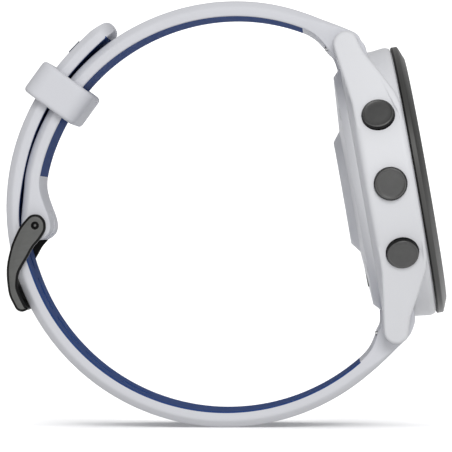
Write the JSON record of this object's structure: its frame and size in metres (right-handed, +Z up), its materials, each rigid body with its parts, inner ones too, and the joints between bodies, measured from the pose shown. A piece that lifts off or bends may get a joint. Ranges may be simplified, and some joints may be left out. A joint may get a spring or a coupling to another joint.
{
  "type": "gps running watch",
  "caption": "Round sports watch with side push buttons, black bezel, optical sensor back and a buckled two-tone silicone strap.",
  "frame": {"origin": "centre of the wrist opening, on the strap's middle plane", "axes": "+X out through the display side, +Y along the forearm towards the two-button side, +Z up towards 12 o'clock; the head leans back 10 degrees on the strap loop"},
  "size_m": [0.0747, 0.0473, 0.0721],
  "materials": {
    "case_resin": "satin moulded",
    "bezel_black": "fine matt",
    "front_glass": "polished, dark behind",
    "window_glass": "polished, dark",
    "seal_rubber": "matt",
    "display_black": "gloss",
    "flex_amber": "satin",
    "frame_resin": "matt",
    "board_green": "satin",
    "can_steel": "brushed",
    "antenna_plate": "plated",
    "battery_foil": "foil",
    "beeper_resin": "matt",
    "led_resin": "clear",
    "button_metal": "satin coated",
    "spring_steel": "plain",
    "strap_white": "soft matt silicone",
    "strap_blue": "soft matt silicone",
    "buckle_metal": "satin coated",
    "marker_dark": "matt"
  },
  "bodies": {
    "head_and_strap": {"case": "case_resin", "bezel": "bezel_black", "lens": "front_glass", "lens_gasket": "seal_rubber", "display_panel": "display_black", "display_flex": "flex_amber", "inner_frame": "frame_resin", "main_board": "board_green", "shield_cans": "can_steel", "gps_antenna": "antenna_plate", "battery": "battery_foil", "vibration_motor": "can_steel", "beeper": "beeper_resin", "barometer": "beeper_resin", "rear_cover": "case_resin", "rear_gasket": "seal_rubber", "rear_screws": "can_steel", "sensor_board": "board_green", "sensor_leds": "led_resin", "sensor_window": "window_glass", "charge_port": "bezel_black", "charge_contacts": "antenna_plate", "button_seals": "seal_rubber", "button_switches": "antenna_plate", "left_flex": "flex_amber", "right_flex": "flex_amber", "light_spring": "spring_steel", "up_spring": "spring_steel", "down_spring": "spring_steel", "start_spring": "spring_steel", "back_spring": "spring_steel", "upper_strap": "strap_white", "upper_lining": "strap_blue", "lower_strap": "strap_white", "lower_lining": "strap_blue", "upper_lug_bar": "spring_steel", "lower_lug_bar": "spring_steel", "upper_bar_spring": "spring_steel", "lower_bar_spring": "spring_steel", "strap_marker": "marker_dark"},
    "light_key": {"light_button": "button_metal", "light_clip": "spring_steel"},
    "up_key": {"up_button": "button_metal", "up_clip": "spring_steel"},
    "down_key": {"down_button": "button_metal", "down_clip": "spring_steel"},
    "start_key": {"start_button": "button_metal", "start_clip": "spring_steel"},
    "back_key": {"back_button": "button_metal", "back_clip": "spring_steel"},
    "upper_release": {"upper_release_pin": "spring_steel"},
    "lower_release": {"lower_release_pin": "spring_steel"},
    "keeper": {"keeper_loop": "strap_white"},
    "buckle": {"buckle_frame": "buckle_metal", "buckle_bar": "buckle_metal"},
    "tongue": {"buckle_tongue": "buckle_metal"}
  },
  "joints": [
    {"name": "light_press", "type": "slide", "parent": "head_and_strap", "child": "light_key", "axis": [0.0868, 0.866, -0.4924], "range_m": [0, 0.0007], "stiffness_N_per_m": 2000, "springref_m": -0.0005, "deforming": ["light_spring"]},
    {"name": "up_press", "type": "slide", "parent": "head_and_strap", "child": "up_key", "axis": [0, 1, 0], "range_m": [0, 0.0007], "stiffness_N_per_m": 2000, "springref_m": -0.0005, "deforming": ["up_spring"]},
    {"name": "down_press", "type": "slide", "parent": "head_and_strap", "child": "down_key", "axis": [-0.0868, 0.866, 0.4924], "range_m": [0, 0.0007], "stiffness_N_per_m": 2000, "springref_m": -0.0005, "deforming": ["down_spring"]},
    {"name": "start_press", "type": "slide", "parent": "head_and_strap", "child": "start_key", "axis": [0.0868, -0.866, -0.4924], "range_m": [0, 0.0007], "stiffness_N_per_m": 2000, "springref_m": -0.0005, "deforming": ["start_spring"]},
    {"name": "back_press", "type": "slide", "parent": "head_and_strap", "child": "back_key", "axis": [-0.0868, -0.866, 0.4924], "range_m": [0, 0.0007], "stiffness_N_per_m": 2000, "springref_m": -0.0005, "deforming": ["back_spring"]},
    {"name": "upper_release", "type": "slide", "parent": "head_and_strap", "child": "upper_release", "axis": [0, 1, 0], "range_m": [0, 0.0016], "stiffness_N_per_m": 500, "springref_m": -0.0008, "deforming": ["upper_bar_spring"]},
    {"name": "lower_release", "type": "slide", "parent": "head_and_strap", "child": "lower_release", "axis": [0, 1, 0], "range_m": [0, 0.0016], "stiffness_N_per_m": 500, "springref_m": -0.0008, "deforming": ["lower_bar_spring"]},
    {"name": "keeper_slide", "type": "hinge", "parent": "head_and_strap", "child": "keeper", "pos_m": [0.0008, 0, 0.0008], "axis": [0, 1, 0], "range_deg": [-4, 4]},
    {"name": "buckle_swing", "type": "hinge", "parent": "head_and_strap", "child": "buckle", "pos_m": [-0.0323, 0, -0.0018], "axis": [0, 1, 0], "range_deg": [0, 8]},
    {"name": "tongue_swing", "type": "hinge", "parent": "buckle", "child": "tongue", "pos_m": [-0.0323, 0, -0.0018], "axis": [0, 1, 0], "range_deg": [0, 4]}
  ]
}
